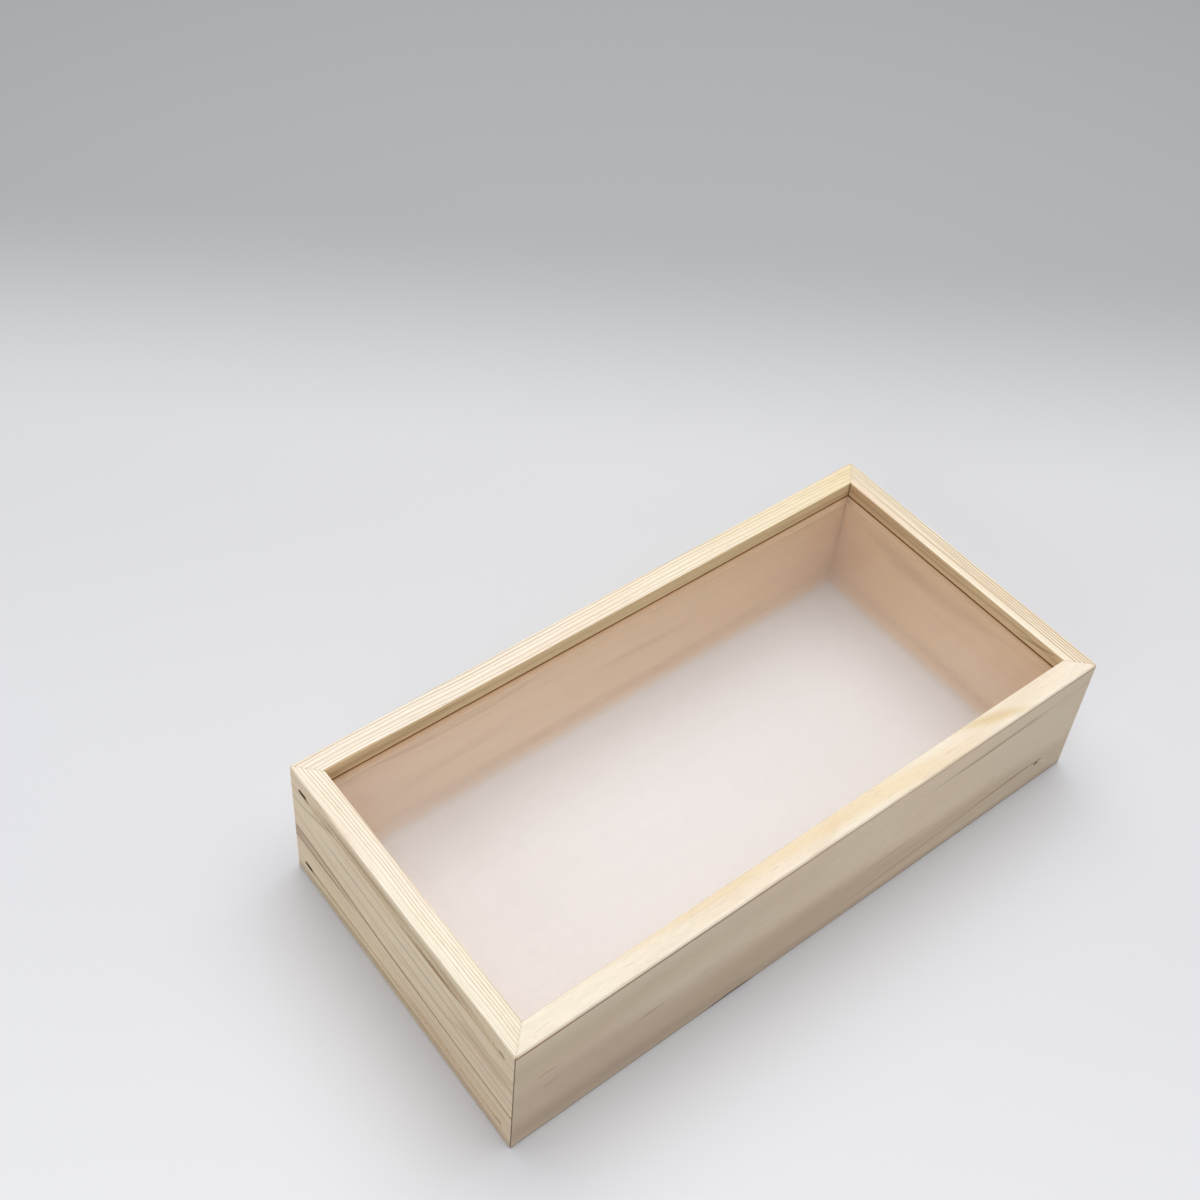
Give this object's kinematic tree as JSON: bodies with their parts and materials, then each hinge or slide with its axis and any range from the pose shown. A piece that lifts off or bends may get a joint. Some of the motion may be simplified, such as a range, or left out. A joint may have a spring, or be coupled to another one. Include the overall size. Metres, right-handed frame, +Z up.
{
  "type": "butterfly display case",
  "caption": "Shallow mitred pine frame with a clear sliding pane in each open face, drawn out through slots in one end board, for showing mounted butterflies from both sides.",
  "frame": {"origin": "middle of the case's underside, on the surface that it lies on", "axes": "+X along the length, away from the slotted end; +Y across, towards the back board; +Z up, from the lower pane to the upper one"},
  "size_m": [0.3, 0.148, 0.067],
  "materials": {
    "long_boards": "planed pine, unfinished",
    "end_boards": "planed pine, unfinished",
    "panes": "clear cast acrylic sheet",
    "films": "hazy polyethylene masking film",
    "pins": "bright drawn wire"
  },
  "bodies": {
    "case": {"front_board": "long_boards", "back_board": "long_boards", "slotted_end_board": "end_boards", "closed_end_board": "end_boards", "front_left_pins": "pins", "front_right_pins": "pins", "back_left_pins": "pins", "back_right_pins": "pins"},
    "top_pane": {"top_pane": "panes", "top_pane_outer_film": "films", "top_pane_inner_film": "films"},
    "bottom_pane": {"bottom_pane": "panes", "bottom_pane_outer_film": "films", "bottom_pane_inner_film": "films"}
  },
  "joints": [
    {"name": "top_pane_slide", "type": "slide", "parent": "case", "child": "top_pane", "axis": [-1, 0, 0], "range_m": [0, 0.3]},
    {"name": "bottom_pane_slide", "type": "slide", "parent": "case", "child": "bottom_pane", "axis": [-1, 0, 0], "range_m": [0, 0.3]}
  ]
}
